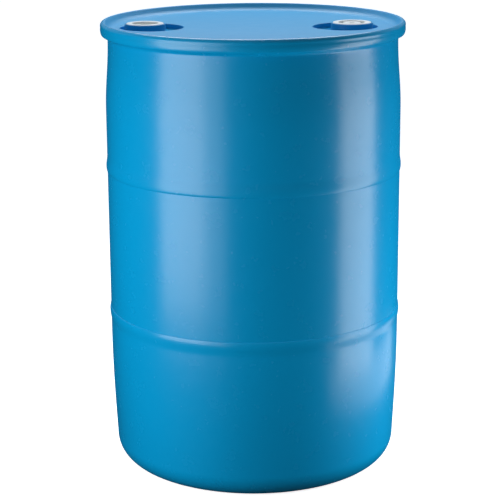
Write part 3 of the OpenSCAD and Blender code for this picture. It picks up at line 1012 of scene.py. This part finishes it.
class DRUM_OT_small_plug(bpy.types.Operator):
    """Models the small plug with its square socket"""

    bl_idname = "drum.small_plug"
    bl_label = "Small plug"

    def execute(self, context):
        scene = context.scene
        at, plugs = Levels(scene), scene.drum_plugs
        x = (SMALL_LOW[0] + SMALL_HIGH[0]) / 2
        head_r = (SMALL_HIGH[0] - SMALL_LOW[0]) / 2
        thread_r = head_r - plugs.small_flange
        stem_r = thread_r - plugs.small_depth
        top, foot = at.small_top_z, SMALL_LOW[2]
        corners = [
            (CORE_R, foot, 0),
            (stem_r, foot, 0.8 * MM),
            (stem_r, at.small_seat_z, 0.2 * MM),
            (head_r, at.small_seat_z, 0.4 * MM),
            (head_r, top, 1.0 * MM),
            (CORE_R, top, 0),
        ]
        plug = capped_lathe("small_screw_plug", rounded(corners, closed=False), x)
        pitch, height = plugs.small_pitch, plugs.small_thread_h
        male = thread("male", x, stem_r - SUNK, thread_r, pitch, at.small_thread_z, height)
        half = plugs.socket_w / 2
        low, high = (x - half, -half, top - plugs.socket_h), (x + half, half, top + PAST)

        def upright(e):
            return abs(e.verts[0].co.z - e.verts[1].co.z) > PAST

        socket = bar("socket", low, high, SOFT_EDGE, upright)
        combine(plug, "UNION", male)
        combine(plug, "DIFFERENCE", socket)
        finish_piece(plug, "small_plug", "small_plug", material_of(scene, white_plug))
        return {"FINISHED"}


class DRUM_OT_stage(bpy.types.Operator):
    """Makes the pale floor, the softboxes, the surroundings and the camera"""

    bl_idname = "drum.stage"
    bl_label = "Stage"

    def execute(self, context):
        scene = context.scene
        stage = scene.drum_stage
        self.floor(scene)
        left, right, back = stage.left_light, stage.right_light, stage.back_light
        dim, reflected = 0.4, 0.35  # shares of the light of the softbox beside them
        # name, azimuth, distance, height, height aimed at, width, height across, watts a square metre
        softboxes = (
            ("left_softbox", -51.5, 1.35, 0.52, 0.52, 0.85, 0.96, left),
            ("left_softbox_edge", -27, 1.35, 0.52, 0.52, 0.33, 0.96, dim * left),
            ("right_softbox", 76, 0.9, 0.4, 0.4, 0.52, 0.8, right),
            ("right_reflector", 85, 0.6, 0.07, 0.07, 0.84, 0.14, reflected * right),
            ("back_softbox", 180, 1.1, 2.3, 0.875, 1.6, 1.2, back),
        )
        for softbox in softboxes:
            self.softbox(*softbox)
        self.surroundings(scene, stage)
        self.camera(scene, stage)
        scene.view_settings.view_transform = "Standard"
        return {"FINISHED"}

    def floor(self, scene):
        bpy.ops.object.select_all(action="DESELECT")
        bpy.ops.mesh.primitive_plane_add(size=FLOOR_W)
        floor = bpy.context.object
        floor.name = "studio_floor"
        floor.visible_glossy = floor.visible_diffuse = False
        floor.data.materials.append(material_of(scene, pale_floor))

    def softbox(self, name, azimuth, away, middle_z, aim_z, width, height, power):
        """A softbox turned to the drum's axis; its azimuth is counted from the camera's side."""
        turn = math.radians(azimuth)
        place = Vector((away * math.sin(turn), -away * math.cos(turn), middle_z))
        bpy.ops.object.select_all(action="DESELECT")
        bpy.ops.object.light_add(type="AREA", location=place)
        lamp = bpy.context.object
        lamp.name = name
        lamp.rotation_euler = (Vector((0.0, 0.0, aim_z)) - place).to_track_quat("-Z", "Y").to_euler()
        lamp.data.shape = "RECTANGLE"
        lamp.data.size, lamp.data.size_y = width, height
        lamp.data.energy = power * width * height
        lamp.visible_camera = False

    def surroundings(self, scene, stage):
        """A dim room, with a tinted wall behind the drum and a faint ceiling."""
        world = bpy.data.worlds.new("studio")
        scene.world = world
        world.use_nodes = True
        nodes, links = world.node_tree.nodes, world.node_tree.links
        background = nodes["Background"]
        split = nodes.new("ShaderNodeSeparateXYZ")
        links.new(nodes.new("ShaderNodeTexCoord").outputs["Generated"], split.inputs[0])

        def graded(axis, low, high, dark, bright):
            """Goes smoothly from dark to bright along an axis; either may be a socket."""
            node = nodes.new("ShaderNodeMapRange")
            node.interpolation_type = "SMOOTHSTEP"
            links.new(split.outputs[axis], node.inputs["Value"])
            for key, value in (("From Min", low), ("From Max", high), ("To Min", dark), ("To Max", bright)):
                if isinstance(value, bpy.types.NodeSocket):
                    links.new(value, node.inputs[key])
                else:
                    node.inputs[key].default_value = value
            return node.outputs["Result"]

        front, behind = -0.2, 0.7
        tint = nodes.new("ShaderNodeMix")
        tint.data_type = "RGBA"
        tint.inputs[6].default_value = (1.0, 1.0, 1.0, 1.0)
        tint.inputs[7].default_value = (*stage.back_tint, 1.0)
        links.new(graded("Y", front, behind, 0.0, 1.0), tint.inputs[0])
        links.new(tint.outputs[2], background.inputs["Color"])
        around = graded("Y", front, behind, stage.front_sky, stage.back_sky)
        total = nodes.new("ShaderNodeMath")
        links.new(graded("Z", 0.03, 0.13, stage.below_sky, around), total.inputs[0])
        links.new(graded("Z", 0.3, 0.9, 0.0, stage.top_sky), total.inputs[1])
        links.new(total.outputs[0], background.inputs["Strength"])

    def camera(self, scene, stage):
        bpy.ops.object.select_all(action="DESELECT")
        bpy.ops.object.camera_add(location=(0.0, -stage.camera_away, stage.camera_h))
        camera = bpy.context.object
        camera.name = "camera"
        turn = (
            Matrix.Rotation(stage.yaw, 3, "Z")
            @ Matrix.Rotation(math.pi / 2 - stage.pitch, 3, "X")
            @ Matrix.Rotation(-stage.roll, 3, "Z")
        )
        camera.rotation_euler = turn.to_euler()
        camera.data.lens = stage.lens
        camera.data.sensor_width = SENSOR_W
        scene.camera = camera


class DRUM_PT_panel(bpy.types.Panel):
    """Lists the drum's operators and sizes"""

    bl_label = "Drum"
    bl_idname = "DRUM_PT_panel"
    bl_space_type = "VIEW_3D"
    bl_region_type = "UI"
    bl_category = "Drum"

    def draw(self, context):
        for operator in OPERATORS:
            self.layout.operator(operator.bl_idname)
        for name, group in PROPERTY_GROUPS.items():
            box = self.layout.box()
            for key in group.__annotations__:
                box.prop(getattr(context.scene, name), key)


OPERATORS = (
    DRUM_OT_shell,
    DRUM_OT_inserts,
    DRUM_OT_gaskets,
    DRUM_OT_coarse_plug,
    DRUM_OT_small_plug,
    DRUM_OT_fine_plug,
    DRUM_OT_stage,
)


def register():
    for group in (*PROPERTY_GROUPS.values(), *OPERATORS, DRUM_PT_panel):
        bpy.utils.register_class(group)
    for name, group in PROPERTY_GROUPS.items():
        setattr(bpy.types.Scene, name, bpy.props.PointerProperty(type=group))


def unregister():
    for name in PROPERTY_GROUPS:
        delattr(bpy.types.Scene, name)
    for group in reversed((*PROPERTY_GROUPS.values(), *OPERATORS, DRUM_PT_panel)):
        bpy.utils.unregister_class(group)


def main():
    register()
    bpy.ops.drum.shell()
    bpy.ops.drum.inserts()
    bpy.ops.drum.gaskets()
    bpy.ops.drum.coarse_plug()
    bpy.ops.drum.small_plug()
    bpy.ops.drum.fine_plug()
    bpy.ops.drum.stage()


if __name__ == "__main__":
    main()
